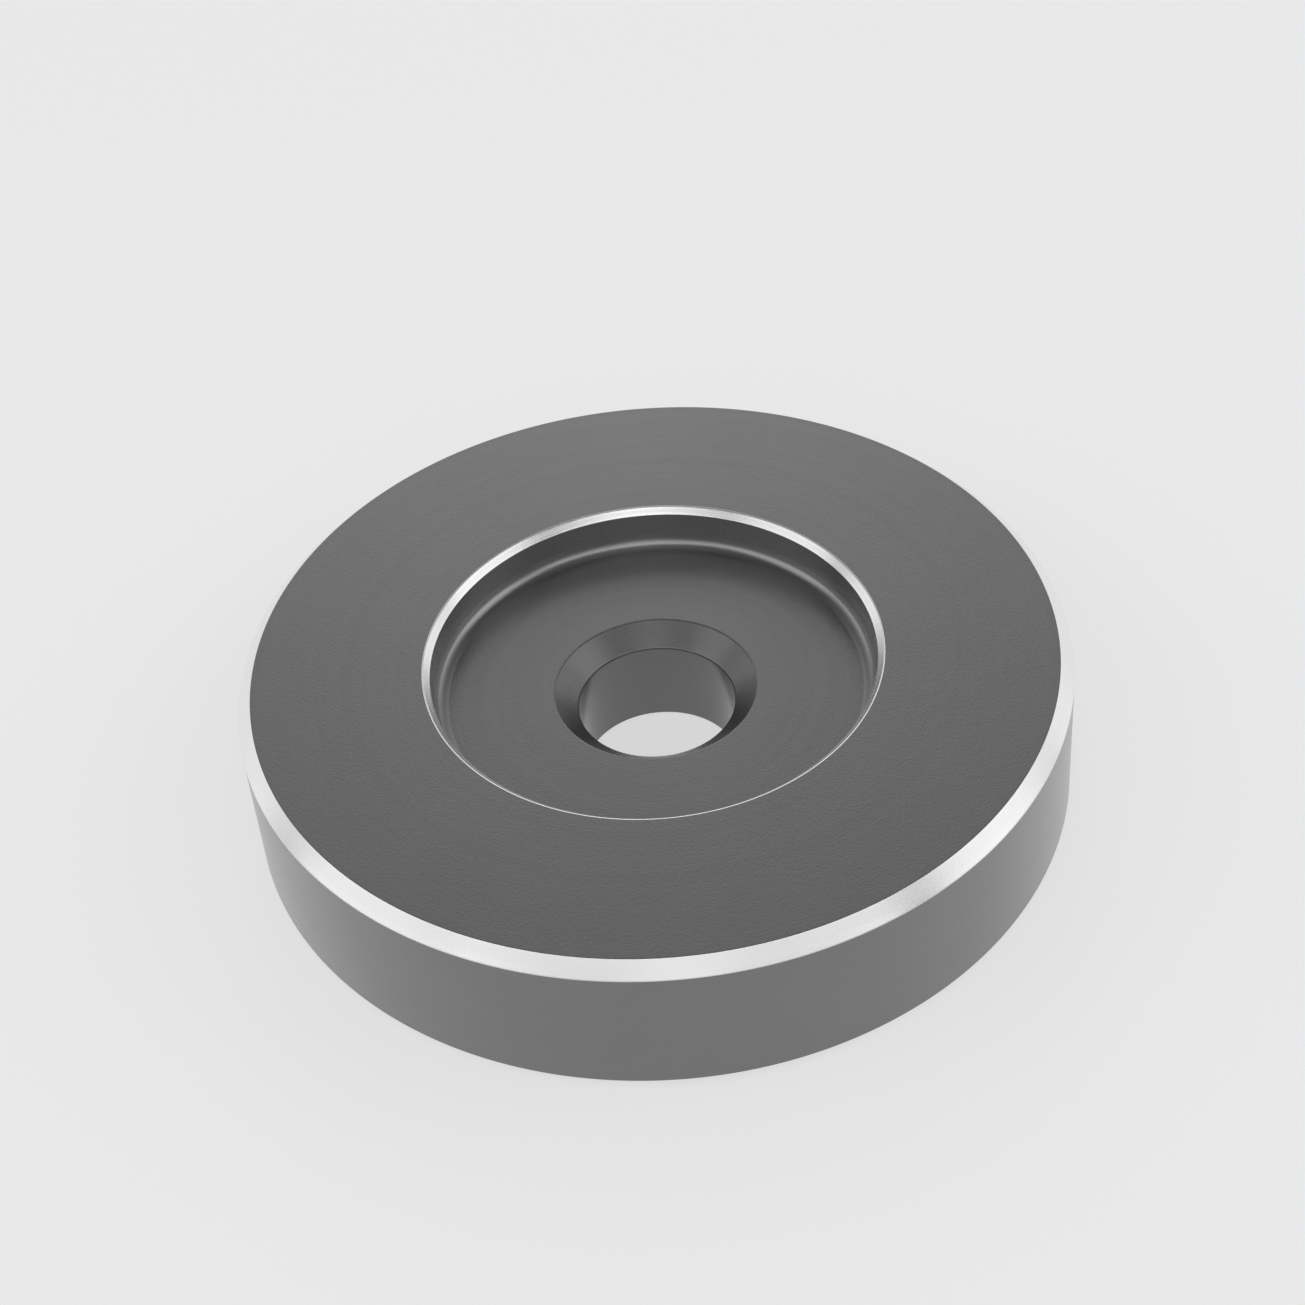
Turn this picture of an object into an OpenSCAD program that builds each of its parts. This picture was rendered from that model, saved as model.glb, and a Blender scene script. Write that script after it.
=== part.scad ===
// Adapter puck for playing large-hole 45 rpm records on a small spindle.
// It is one turned piece of aluminium that lies flat, dished side up.
// All sizes are in millimetres. The axis is Z, and the underside lies at z = 0.

/* [Body] */
// Outside diameter, which centres the record's large hole
outer_d = 38.0; // [34:0.05:46]
// Height from the underside to the top face
height = 7.4; // [6:0.1:14]
// Bright bevel round the top edge, across and down
rim_bevel = 0.65; // [0.2:0.05:1.4]
// Bevel round the bottom edge, across and up
foot_bevel = 0.4; // [0.1:0.05:1]

/* [Dish] */
// Diameter of the dish's straight wall
dish_d = 20.4; // [17:0.1:26]
// Bright bevel where the dish breaks the top face
dish_bevel = 0.3; // [0.1:0.05:0.5]
// Depth of the dish's flat floor below the top face
floor_depth = 2.15; // [1.5:0.05:3]
// Fillet between the floor and the wall
floor_fillet = 0.65; // [0.2:0.05:0.9]

/* [Spindle hole] */
// Diameter of the hole, a close sliding fit on a 7.2 spindle
bore_d = 7.25; // [6.5:0.01:8]
// Width of the countersink where the hole meets the dish's floor
countersink_w = 1.05; // [0.3:0.05:1.8]
// Depth of the countersink, a little less than its width
countersink_h = 0.9; // [0.3:0.05:1.8]
// Bevel where the hole breaks the underside
bore_bevel = 0.2; // [0.1:0.05:0.5]

/* [Hidden] */

$fn = 180;

outer_r = outer_d / 2;
dish_r = dish_d / 2;
bore_r = bore_d / 2;

floor_z = height - floor_depth;

// How far the cutting shapes run past the faces that they open
overrun = 1;

// Half section of the blank, from the axis to the rim, bevelled at both edges
module blank_section() {
    polygon([
        [0, 0],
        [outer_r - foot_bevel, 0],
        [outer_r, foot_bevel],
        [outer_r, height - rim_bevel],
        [outer_r - rim_bevel, height],
        [0, height]
    ]);
}

// Half section of the dish, with a filleted floor and a bevel that opens onto the top face
module dish_section() {
    difference() {
        polygon([
            [0, floor_z],
            [dish_r, floor_z],
            [dish_r, height - dish_bevel],
            [dish_r + dish_bevel + overrun, height + overrun],
            [0, height + overrun]
        ]);
        corner_fillet([dish_r, floor_z], floor_fillet);
    }
}

// Half section of the spindle hole, with its countersink above and its bevel below
module bore_section() {
    polygon([
        [0, -overrun],
        [bore_r + bore_bevel + overrun, -overrun],
        [bore_r, bore_bevel],
        [bore_r, floor_z - countersink_h],
        [bore_r + countersink_w, floor_z],
        [bore_r + countersink_w, floor_z + overrun],
        [0, floor_z + overrun]
    ]);
}

// What a quarter round leaves standing in the lower right corner of a section
module corner_fillet(corner, radius) {
    translate([corner.x - radius, corner.y])
    difference() {
        square(radius);
        translate([0, radius]) circle(radius);
    }
}

module adapter() {
    color([0.43, 0.43, 0.44])
    rotate_extrude()
    difference() {
        blank_section();
        dish_section();
        bore_section();
    }
}

adapter();
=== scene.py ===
"""A turned aluminium adapter for large-hole records, lying dished side up on a pale floor."""

import math

import bmesh
import bpy
from mathutils import Matrix, Vector


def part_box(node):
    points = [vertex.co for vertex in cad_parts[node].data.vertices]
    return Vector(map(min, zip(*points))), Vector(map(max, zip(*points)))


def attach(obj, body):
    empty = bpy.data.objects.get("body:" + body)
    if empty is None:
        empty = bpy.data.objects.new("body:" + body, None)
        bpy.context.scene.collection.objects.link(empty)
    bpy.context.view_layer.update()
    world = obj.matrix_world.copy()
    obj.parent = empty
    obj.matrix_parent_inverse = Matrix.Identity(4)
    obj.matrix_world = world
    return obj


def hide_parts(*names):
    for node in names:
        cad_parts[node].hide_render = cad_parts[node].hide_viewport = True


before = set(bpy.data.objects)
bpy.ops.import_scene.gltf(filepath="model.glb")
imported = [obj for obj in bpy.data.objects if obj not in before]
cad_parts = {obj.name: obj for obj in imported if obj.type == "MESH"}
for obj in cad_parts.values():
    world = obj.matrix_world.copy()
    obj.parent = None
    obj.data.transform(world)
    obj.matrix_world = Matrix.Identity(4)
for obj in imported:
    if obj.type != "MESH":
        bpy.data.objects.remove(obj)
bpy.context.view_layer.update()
MM = 0.001

# Camera
# It looks down into the dish from close by, and is rolled a little.
# The distance gives the photograph's strong perspective, and a longer lens fills the frame.
CAMERA_ELEVATION = math.radians(42.2)
CAMERA_ROLL = math.radians(5.2)
CAMERA_DISTANCE = 121.9 * MM
CAMERA_LENS = 74
CAMERA_NEAR = 5 * MM
low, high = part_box("adapter")
aim = Vector((0, 0, high[2]))
camera = bpy.data.objects.new("camera", bpy.data.cameras.new("camera"))
bpy.context.scene.collection.objects.link(camera)
back = Vector((0, -math.cos(CAMERA_ELEVATION), math.sin(CAMERA_ELEVATION)))
upright = Vector((0, 0, -1)).rotation_difference(-back).to_matrix().to_4x4()
roll = Matrix.Rotation(-CAMERA_ROLL, 4, "Z")
camera.matrix_world = Matrix.Translation(aim + back * CAMERA_DISTANCE) @ upright @ roll
camera.data.lens = CAMERA_LENS
camera.data.clip_start = CAMERA_NEAR
bpy.context.scene.camera = camera
bpy.context.scene.view_settings.view_transform = "Standard"

# Floor
# A wide sheet of pale matt board, which the adapter lies on.
# The camera and the metal see it glow a little, so it stays pale in the hole's own shade too.
FLOOR_SIZE = 3.0
FLOOR_DROP = 0.02 * MM
FLOOR_COLOUR = (0.40, 0.40, 0.40, 1)
FLOOR_GLOW = 0.60
floor_mesh = bpy.data.meshes.new("floor")
half = FLOOR_SIZE / 2
floor_mesh.from_pydata(
    [(-half, -half, 0), (half, -half, 0), (half, half, 0), (-half, half, 0)], [], [(0, 1, 2, 3)]
)
floor = bpy.data.objects.new("floor", floor_mesh)
bpy.context.scene.collection.objects.link(floor)
floor.location.z = low[2] - FLOOR_DROP
board = bpy.data.materials.new("pale_board")
board.use_nodes = True
board_nodes, board_links = board.node_tree.nodes, board.node_tree.links
board_shader = board_nodes["Principled BSDF"]
board_shader.inputs["Base Color"].default_value = FLOOR_COLOUR
board_shader.inputs["Roughness"].default_value = 0.9
board_shader.inputs["Specular IOR Level"].default_value = 0.1
board_shader.inputs["Emission Color"].default_value = (1, 1, 1, 1)
ray = board_nodes.new("ShaderNodeLightPath")
seen = board_nodes.new("ShaderNodeMath")
seen.operation = "ADD"
seen.use_clamp = True
board_links.new(ray.outputs["Is Camera Ray"], seen.inputs[0])
board_links.new(ray.outputs["Is Glossy Ray"], seen.inputs[1])
seen_too = board_nodes.new("ShaderNodeMath")
seen_too.operation = "ADD"
seen_too.use_clamp = True
board_links.new(seen.outputs[0], seen_too.inputs[0])
board_links.new(ray.outputs["Is Transmission Ray"], seen_too.inputs[1])
glow = board_nodes.new("ShaderNodeMath")
glow.operation = "MULTIPLY"
glow.inputs[1].default_value = FLOOR_GLOW
board_links.new(seen_too.outputs[0], glow.inputs[0])
board_links.new(glow.outputs[0], board_shader.inputs["Emission Strength"])
floor.data.materials.append(board)

# Studio light
# A pale room that is bright low down behind the adapter, and dims upwards and to both sides.
# A thin strip and a wide box stand on the camera's side for the bevels and the dish.
# A square box stands at each side, and a weak low one behind it on each side.
ROOM_BRIGHT = 1.24
ROOM_DIM = 0.34
DIM_TOWARDS = Vector((0, -0.5, 0.866))
DIM_FROM = 0.5
SIDE_SHADE = 0.5
SHADE_FROM = 0.05
SHADE_TO = 0.3
world = bpy.data.worlds.new("room")
world.use_nodes = True
bpy.context.scene.world = world
room = world.node_tree
direction = room.nodes.new("ShaderNodeTexCoord")
lean = room.nodes.new("ShaderNodeVectorMath")
lean.operation = "DOT_PRODUCT"
lean.inputs[1].default_value = DIM_TOWARDS
room.links.new(direction.outputs["Generated"], lean.inputs[0])
fade = room.nodes.new("ShaderNodeMapRange")
fade.interpolation_type = "SMOOTHSTEP"
fade.inputs["From Max"].default_value = DIM_FROM
fade.inputs["To Min"].default_value = ROOM_BRIGHT
fade.inputs["To Max"].default_value = ROOM_DIM
room.links.new(lean.outputs["Value"], fade.inputs["Value"])
parts = room.nodes.new("ShaderNodeSeparateXYZ")
room.links.new(direction.outputs["Generated"], parts.inputs[0])
sideways = room.nodes.new("ShaderNodeMath")
sideways.operation = "ABSOLUTE"
room.links.new(parts.outputs["X"], sideways.inputs[0])
kept = room.nodes.new("ShaderNodeMapRange")
kept.interpolation_type = "SMOOTHSTEP"
kept.inputs["From Min"].default_value = SHADE_FROM
kept.inputs["From Max"].default_value = SHADE_TO
kept.inputs["To Min"].default_value = 1
kept.inputs["To Max"].default_value = 1 - SIDE_SHADE
room.links.new(sideways.outputs[0], kept.inputs["Value"])
strength = room.nodes.new("ShaderNodeMath")
strength.operation = "MULTIPLY"
room.links.new(fade.outputs["Result"], strength.inputs[0])
room.links.new(kept.outputs["Result"], strength.inputs[1])
room.links.new(strength.outputs[0], room.nodes["Background"].inputs["Strength"])
room.nodes["Background"].inputs["Color"].default_value = (1, 1, 1, 1)


def softbox(name, azimuth, elevation, distance, size, radiance):
    """A lamp that faces the adapter; azimuth 0 is the camera's side, and 90 degrees the right."""
    width, height = size
    lamp = bpy.data.lights.new(name, "AREA")
    lamp.shape = "RECTANGLE"
    lamp.size = width
    lamp.size_y = height
    lamp.energy = radiance * math.pi * width * height
    fitting = bpy.data.objects.new(name, lamp)
    bpy.context.scene.collection.objects.link(fitting)
    azimuth, elevation = math.radians(azimuth), math.radians(elevation)
    towards = Vector((
        math.sin(azimuth) * math.cos(elevation),
        -math.cos(azimuth) * math.cos(elevation),
        math.sin(elevation),
    ))
    fitting.location = towards * distance
    fitting.rotation_euler = towards.to_track_quat("Z", "Y").to_euler()


softbox("front_strip", azimuth=0, elevation=50.5, distance=0.6, size=(1.2, 0.07), radiance=1.6)
softbox("front_box", azimuth=0, elevation=35, distance=0.6, size=(1.5, 0.26), radiance=0.5)
softbox("right_box", azimuth=86, elevation=34, distance=0.5, size=(0.33, 0.32), radiance=0.9)
softbox("left_box", azimuth=-80, elevation=34, distance=0.5, size=(0.33, 0.32), radiance=0.8)
softbox("right_fill", azimuth=122, elevation=14, distance=0.6, size=(0.3, 0.26), radiance=0.33)
softbox("left_fill", azimuth=-122, elevation=14, distance=0.6, size=(0.3, 0.26), radiance=0.33)

# Adapter
# One puck of aluminium, turned in a lathe, blasted to an even satin and anodised grey.
# The top bevels are cut bright afterwards, and the hole is reamed smooth. The dish wall and
# its foot fillet are drawn in a lighter grey than the satin, as a painted highlight.
# It has no other pieces, and nothing is fixed to it.

# Lengths of the half section in millimetres, as the CAD source has them
outer_r = high[0] / MM
height = (high[2] - low[2]) / MM
rim_bevel = 0.65
foot_bevel = 0.4
dish_r = 10.2
dish_bevel = 0.3
floor_z = height - 2.15
floor_fillet = 0.65
bore_r = 3.625
countersink_w = 1.05
countersink_h = 0.9
bore_bevel = 0.2

# Rounding of the sharp edges, of the dish's lip and of the mouth's two edges, in millimetres
EDGE_BREAK = 0.04
LIP_BREAK = 0.1
SOFT_BREAK = 0.12

# A rounding is drawn in steps of this angle, with a narrow support ring on both sides
ROUND_STEP = math.radians(12)
SUPPORT = 0.03
SEGMENTS = 400
# The puck is drawn this share smaller, so that rounding never takes it past the CAD's box
HAIR = 0.00001

# Corners of the half section, from the hole's underside edge outwards and round to the mouth.
# Each has its radius, its height, its rounding, and the finishes of the rounding and of the
# stretch after it.
SATIN, BRIGHT, WALL_PAINTED_HIGHLIGHT, REAMED = 0, 1, 2, 3
corners = [
    (bore_r + bore_bevel, 0, EDGE_BREAK, SATIN, SATIN),
    (outer_r - foot_bevel, 0, EDGE_BREAK, SATIN, SATIN),
    (outer_r, foot_bevel, EDGE_BREAK, SATIN, SATIN),
    (outer_r, height - rim_bevel, EDGE_BREAK, BRIGHT, BRIGHT),
    (outer_r - rim_bevel, height, EDGE_BREAK, SATIN, SATIN),
    (dish_r + dish_bevel, height, LIP_BREAK, BRIGHT, BRIGHT),
    # The dish wall and its foot fillet take the lighter grey of the painted highlight
    (dish_r, height - dish_bevel, EDGE_BREAK, BRIGHT, WALL_PAINTED_HIGHLIGHT),
    (dish_r, floor_z, floor_fillet, WALL_PAINTED_HIGHLIGHT, SATIN),
    (bore_r + countersink_w, floor_z, SOFT_BREAK, SATIN, SATIN),
    (bore_r, floor_z - countersink_h, SOFT_BREAK, SATIN, REAMED),
    (bore_r, bore_bevel, EDGE_BREAK, REAMED, REAMED),
]


def rounded_section(corners):
    """The section's points, each with the finish of the stretch that follows it."""
    points = []
    for i, (r, z, rounding, arc_finish, finish) in enumerate(corners):
        corner = Vector((r, z))
        before = Vector(corners[i - 1][:2]) - corner
        after = Vector(corners[(i + 1) % len(corners)][:2]) - corner
        before.normalize()
        after.normalize()
        opening = before.angle(after)
        reach = rounding / math.tan(opening / 2)
        centre = corner + (before + after).normalized() * rounding / math.sin(opening / 2)
        start = corner + before * reach - centre
        turn = start.angle_signed(corner + after * reach - centre)
        steps = max(2, math.ceil(abs(turn) / ROUND_STEP))
        points.append((centre + start + before * SUPPORT, corners[i - 1][4]))
        for k in range(steps):
            points.append((centre + start @ Matrix.Rotation(turn * k / steps, 2), arc_finish))
        points.append((corner + after * reach, finish))
        points.append((corner + after * (reach + SUPPORT), finish))
    return points


section = rounded_section(corners)
lathe_work = bmesh.new()
rings = []
for point, finish in section:
    ring = []
    for s in range(SEGMENTS):
        angle = 2 * math.pi * s / SEGMENTS
        spot = Vector((point.x * math.cos(angle), point.x * math.sin(angle), point.y))
        ring.append(lathe_work.verts.new(spot * MM))
    rings.append(ring)
for i, (point, finish) in enumerate(section):
    inner, outer = rings[i], rings[(i + 1) % len(rings)]
    for s in range(SEGMENTS):
        t = (s + 1) % SEGMENTS
        face = lathe_work.faces.new((inner[s], outer[s], outer[t], inner[t]))
        face.material_index = finish
        face.smooth = True
bmesh.ops.recalc_face_normals(lathe_work, faces=lathe_work.faces)
middle = Vector((0, 0, (low[2] + high[2]) / 2))
bmesh.ops.scale(
    lathe_work,
    vec=Vector((1, 1, 1)) * (1 - HAIR),
    space=Matrix.Translation(-middle),
    verts=lathe_work.verts,
)
puck_mesh = bpy.data.meshes.new("turned_puck")
lathe_work.to_mesh(puck_mesh)
lathe_work.free()
puck = bpy.data.objects.new("turned_puck", puck_mesh)
bpy.context.scene.collection.objects.link(puck)


def new_group(name, inputs, outputs):
    """A shader node group with named inputs and outputs, for an effect that materials share."""
    group = bpy.data.node_groups.new(name, "ShaderNodeTree")
    for socket_name, value in inputs:
        socket = group.interface.new_socket(
            socket_name, in_out="INPUT", socket_type="NodeSocketFloat"
        )
        socket.default_value = value
    for socket_name in outputs:
        group.interface.new_socket(
            socket_name, in_out="OUTPUT", socket_type="NodeSocketFloat"
        )
    return group, group.nodes.new("NodeGroupInput"), group.nodes.new("NodeGroupOutput")


# Wide faint streaks between the fine turning marks
STREAKS_PER_MM = 1.6


def turning_marks_group():
    """Fine rings that a lathe tool leaves: by radius on flat faces, and by height on walls."""
    group, given, result = new_group(
        "turning_marks", [("Marks per mm", 7.0), ("Climb", 1.7)], ["Height", "Streak"]
    )
    nodes, links = group.nodes, group.links
    place = nodes.new("ShaderNodeTexCoord")
    split = nodes.new("ShaderNodeSeparateXYZ")
    links.new(place.outputs["Object"], split.inputs[0])
    flat = nodes.new("ShaderNodeCombineXYZ")
    links.new(split.outputs["X"], flat.inputs["X"])
    links.new(split.outputs["Y"], flat.inputs["Y"])
    radius = nodes.new("ShaderNodeVectorMath")
    radius.operation = "LENGTH"
    links.new(flat.outputs[0], radius.inputs[0])
    travel = nodes.new("ShaderNodeMath")
    travel.operation = "MULTIPLY_ADD"
    links.new(split.outputs["Z"], travel.inputs[0])
    links.new(given.outputs["Climb"], travel.inputs[1])
    links.new(radius.outputs["Value"], travel.inputs[2])
    travel_mm = nodes.new("ShaderNodeMath")
    travel_mm.operation = "MULTIPLY"
    travel_mm.inputs[1].default_value = 1 / MM
    links.new(travel.outputs[0], travel_mm.inputs[0])
    ring = nodes.new("ShaderNodeTexNoise")
    ring.noise_dimensions = "1D"
    ring.inputs["Detail"].default_value = 1.5
    links.new(travel_mm.outputs[0], ring.inputs["W"])
    links.new(given.outputs["Marks per mm"], ring.inputs["Scale"])
    links.new(ring.outputs["Fac"], result.inputs["Height"])
    streak = nodes.new("ShaderNodeTexNoise")
    streak.noise_dimensions = "1D"
    streak.inputs["Scale"].default_value = STREAKS_PER_MM
    streak.inputs["Detail"].default_value = 2
    links.new(travel_mm.outputs[0], streak.inputs["W"])
    links.new(streak.outputs["Fac"], result.inputs["Streak"])
    return group


def metal_grain_group():
    """The pits that blasting leaves, and the wide faint patches that handling leaves."""
    group, given, result = new_group(
        "metal_grain", [("Pits per mm", 9.0), ("Patches per mm", 0.2)], ["Height", "Patch"]
    )
    nodes, links = group.nodes, group.links
    place = nodes.new("ShaderNodeTexCoord")
    place_mm = nodes.new("ShaderNodeVectorMath")
    place_mm.operation = "SCALE"
    place_mm.inputs["Scale"].default_value = 1 / MM
    links.new(place.outputs["Object"], place_mm.inputs[0])
    pits = nodes.new("ShaderNodeTexNoise")
    pits.inputs["Detail"].default_value = 2
    links.new(place_mm.outputs[0], pits.inputs["Vector"])
    links.new(given.outputs["Pits per mm"], pits.inputs["Scale"])
    links.new(pits.outputs["Fac"], result.inputs["Height"])
    patch = nodes.new("ShaderNodeTexNoise")
    patch.inputs["Detail"].default_value = 4
    patch.inputs["Distortion"].default_value = 0.6
    links.new(place_mm.outputs[0], patch.inputs["Vector"])
    links.new(given.outputs["Patches per mm"], patch.inputs["Scale"])
    links.new(patch.outputs["Fac"], result.inputs["Patch"])
    return group


turning_marks = turning_marks_group()
metal_grain = metal_grain_group()

# Blender's Mix node has one set of sockets for each kind of data; these are the colour ones
MIX_A, MIX_B, MIX_RESULT = 6, 7, 2
# All the finishes are as blue as aluminium is, a hundredth more than a neutral grey
BLUE = 1.01
COAT_IOR = 1.6
COAT_ROUGHNESS = 0.3
MICROMETRE = MM / 1000
# Nearly all of a noise's values lie between these
NOISE_LOW, NOISE_HIGH = 0.3, 0.7


def metal_grey(value):
    """A grey of this value in aluminium's own tint."""
    return (value, value, value * BLUE, 1)


def finish_material(name, shade, metallic, coat, roughness, mark_depth, pit_depth):
    """Metal of one finish, put into the puck's next slot.

    Shade and roughness are ranges, and the depths are in micrometres.
    """
    material = bpy.data.materials.new(name)
    material.use_nodes = True
    nodes, links = material.node_tree.nodes, material.node_tree.links
    shader = nodes["Principled BSDF"]
    shader.inputs["Metallic"].default_value = metallic
    shader.inputs["Coat Weight"].default_value = coat
    shader.inputs["Coat IOR"].default_value = COAT_IOR
    shader.inputs["Coat Roughness"].default_value = COAT_ROUGHNESS
    marks = nodes.new("ShaderNodeGroup")
    marks.node_tree = turning_marks
    grain = nodes.new("ShaderNodeGroup")
    grain.node_tree = metal_grain
    colour = nodes.new("ShaderNodeMix")
    colour.data_type = "RGBA"
    links.new(grain.outputs["Patch"], colour.inputs["Factor"])
    for socket, value in zip((MIX_A, MIX_B), shade):
        colour.inputs[socket].default_value = metal_grey(value)
    links.new(colour.outputs[MIX_RESULT], shader.inputs["Base Color"])
    gloss = nodes.new("ShaderNodeMapRange")
    gloss.inputs["From Min"].default_value = NOISE_LOW
    gloss.inputs["From Max"].default_value = NOISE_HIGH
    gloss.inputs["To Min"].default_value = roughness[0]
    gloss.inputs["To Max"].default_value = roughness[1]
    links.new(marks.outputs["Streak"], gloss.inputs["Value"])
    links.new(gloss.outputs["Result"], shader.inputs["Roughness"])
    rings = nodes.new("ShaderNodeBump")
    rings.inputs["Distance"].default_value = mark_depth * MICROMETRE
    links.new(marks.outputs["Height"], rings.inputs["Height"])
    pits = nodes.new("ShaderNodeBump")
    pits.inputs["Distance"].default_value = pit_depth * MICROMETRE
    links.new(grain.outputs["Height"], pits.inputs["Height"])
    links.new(rings.outputs["Normal"], pits.inputs["Normal"])
    links.new(pits.outputs["Normal"], shader.inputs["Normal"])
    puck_mesh.materials.append(material)
    return material


SATIN_SHADE = (0.150, 0.170)
finish_material(
    "satin_grey_anodise", shade=SATIN_SHADE, metallic=0.9, coat=1.0,
    roughness=(0.36, 0.40), mark_depth=1.5, pit_depth=13.0,
)
finish_material(
    "bright_cut_bevel", shade=(0.88, 0.93), metallic=1.0, coat=0.0,
    roughness=(0.24, 0.29), mark_depth=0.14, pit_depth=0.15,
)
# A lighter grey than the satin: a painted highlight on the dish wall and on the bright line at
# its foot
highlight_painted_wall = finish_material(
    "dish_wall_painted_highlight", shade=(0.30, 0.34), metallic=0.9, coat=1.0,
    roughness=(0.27, 0.31), mark_depth=0.8, pit_depth=0.6,
)
finish_material(
    "reamed_bore", shade=(0.145, 0.165), metallic=0.9, coat=0.5,
    roughness=(0.18, 0.24), mark_depth=0.5, pit_depth=0.6,
)

# The lighter grey of the painted highlight fades to the satin's grey down the fillet, towards the
# dish floor
FADE_SHARE = 0.4
nodes, links = highlight_painted_wall.node_tree.nodes, highlight_painted_wall.node_tree.links
place = nodes.new("ShaderNodeTexCoord")
split = nodes.new("ShaderNodeSeparateXYZ")
links.new(place.outputs["Object"], split.inputs[0])
painted_highlight_fade = nodes.new("ShaderNodeMapRange")
painted_highlight_fade.interpolation_type = "SMOOTHSTEP"
painted_highlight_fade.inputs["From Min"].default_value = floor_z * MM
painted_highlight_fade.inputs["From Max"].default_value = (floor_z + FADE_SHARE * floor_fillet) * MM
links.new(split.outputs["Z"], painted_highlight_fade.inputs["Value"])
fading = nodes.new("ShaderNodeMix")
fading.data_type = "RGBA"
fading.inputs[MIX_A].default_value = metal_grey(sum(SATIN_SHADE) / 2)
links.new(painted_highlight_fade.outputs["Result"], fading.inputs["Factor"])
shader = nodes["Principled BSDF"]
links.new(shader.inputs["Base Color"].links[0].from_socket, fading.inputs[MIX_B])
links.new(fading.outputs[MIX_RESULT], shader.inputs["Base Color"])

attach(puck, "root")
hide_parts("adapter")
